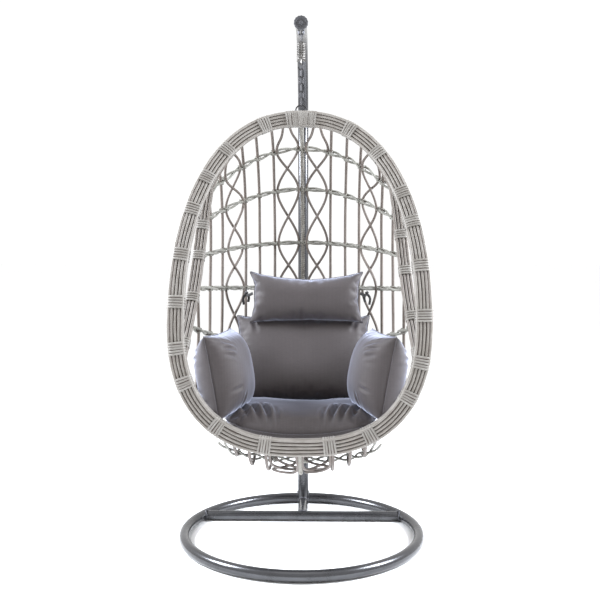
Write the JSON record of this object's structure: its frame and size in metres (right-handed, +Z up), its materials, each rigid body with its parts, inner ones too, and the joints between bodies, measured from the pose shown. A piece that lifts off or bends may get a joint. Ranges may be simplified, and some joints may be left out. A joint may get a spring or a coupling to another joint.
{
  "type": "hanging egg chair",
  "caption": "Egg-shaped woven basket chair with cushions, hung by a chain and spring from a curved steel mast on a round base ring.",
  "frame": {"origin": "middle of the base ring on the floor", "axes": "+Z up, the basket's open front faces -Y, the mast stands at +Y, +X is the viewer's right"},
  "size_m": [0.95, 0.95, 1.9993],
  "materials": {
    "stand_steel": "dark metallic grey powder coat with a soft gloss",
    "bolt_steel": "bright zinc plated",
    "cap_plastic": "moulded dark grey plastic",
    "chain_steel": "black coated, worn at the contacts",
    "spring_steel": "oiled spring steel",
    "hoop_steel": "painted steel, inside the bundle",
    "rim_strand": "light grey-beige resin wicker with brown gaps",
    "rib_wrap": "resin wicker wound round a rib",
    "lattice_stake": "dark brown-grey resin wicker",
    "lattice_row": "twisted grey-green resin wicker",
    "cushion_fabric": "charcoal woven polyester",
    "tie_fabric": "black webbing"
  },
  "bodies": {
    "stand": {"arm_end_cap": "cap_plastic", "arm_eye": "chain_steel", "base_crossbar": "stand_steel", "base_ring": "stand_steel", "base_spigot": "stand_steel", "base_spine": "stand_steel", "mast_foot_bolt": "bolt_steel", "mast_joint_bolt": "bolt_steel", "mast_lower": "stand_steel", "mast_upper": "stand_steel"},
    "top_link": {"chain_link_upper": "chain_steel"},
    "spring_upper": {"spring_upper_drawbar": "spring_steel", "spring_coil": "spring_steel"},
    "spring_lower": {"spring_lower_drawbar": "spring_steel", "snap_hook": "chain_steel"},
    "lower_chain": {"chain_link_lower_1": "chain_steel", "chain_link_lower_2": "chain_steel", "chain_link_lower_3": "chain_steel", "chain_link_lower_4": "chain_steel"},
    "link_5": {"chain_link_lower_5": "chain_steel"},
    "basket": {"arm_cushion_left": "cushion_fabric", "arm_cushion_right": "cushion_fabric", "back_cushion": "cushion_fabric", "back_rib": "rib_wrap", "basket_hanger_ring": "chain_steel", "eight_left_inner_a": "lattice_stake", "eight_left_inner_b": "lattice_stake", "eight_left_outer_a": "lattice_stake", "eight_left_outer_b": "lattice_stake", "eight_right_inner_a": "lattice_stake", "eight_right_inner_b": "lattice_stake", "eight_right_outer_a": "lattice_stake", "eight_right_outer_b": "lattice_stake", "front_rim_frame": "hoop_steel", "front_rim_strands": "rim_strand", "head_pillow": "cushion_fabric", "pillow_tie_left": "tie_fabric", "pillow_tie_right": "tie_fabric", "seat_cushion": "cushion_fabric", "side_rim_left": "rim_strand", "side_rim_right": "rim_strand", "stake_left_1": "lattice_stake", "stake_left_2": "lattice_stake", "stake_left_3": "lattice_stake", "stake_left_4": "lattice_stake", "stake_left_5": "lattice_stake", "stake_left_6": "lattice_stake", "stake_right_1": "lattice_stake", "stake_right_2": "lattice_stake", "stake_right_3": "lattice_stake", "stake_right_4": "lattice_stake", "stake_right_5": "lattice_stake", "stake_right_6": "lattice_stake", "weave_row_1": "lattice_row", "weave_row_2": "lattice_row", "weave_row_3": "lattice_row", "weave_row_4": "lattice_row", "weave_row_5": "lattice_row", "weave_row_6": "lattice_row", "weave_row_7": "lattice_row"}
  },
  "joints": [
    {"name": "hanger_swing_fore_aft", "type": "hinge", "parent": "stand", "child": "top_link", "pos_m": [0, -0.1, 1.9337], "axis": [1, 0, 0], "range_deg": [-15, 3]},
    {"name": "hanger_swing_side", "type": "hinge", "parent": "top_link", "child": "spring_upper", "pos_m": [0, -0.1, 1.9067], "axis": [0, 1, 0], "range_deg": [-12, 12]},
    {"name": "spring_bounce", "type": "slide", "parent": "spring_upper", "child": "spring_lower", "axis": [0, 0, -1], "range_m": [0, 0.018], "stiffness_N_per_m": 40000, "springref_m": -0.008, "deforming": ["spring_coil"]},
    {"name": "chain_twist", "type": "hinge", "parent": "spring_lower", "child": "lower_chain", "pos_m": [0, -0.1, 1.8013], "axis": [0, 0, 1], "range_deg": [-20, 20]},
    {"name": "basket_tilt_fore_aft", "type": "hinge", "parent": "lower_chain", "child": "link_5", "pos_m": [0, -0.1, 1.6913], "axis": [1, 0, 0], "range_deg": [-6, 1.5]},
    {"name": "basket_tilt_side", "type": "hinge", "parent": "link_5", "child": "basket", "pos_m": [0, -0.1, 1.6638], "axis": [0, 1, 0], "range_deg": [-5, 5]}
  ]
}
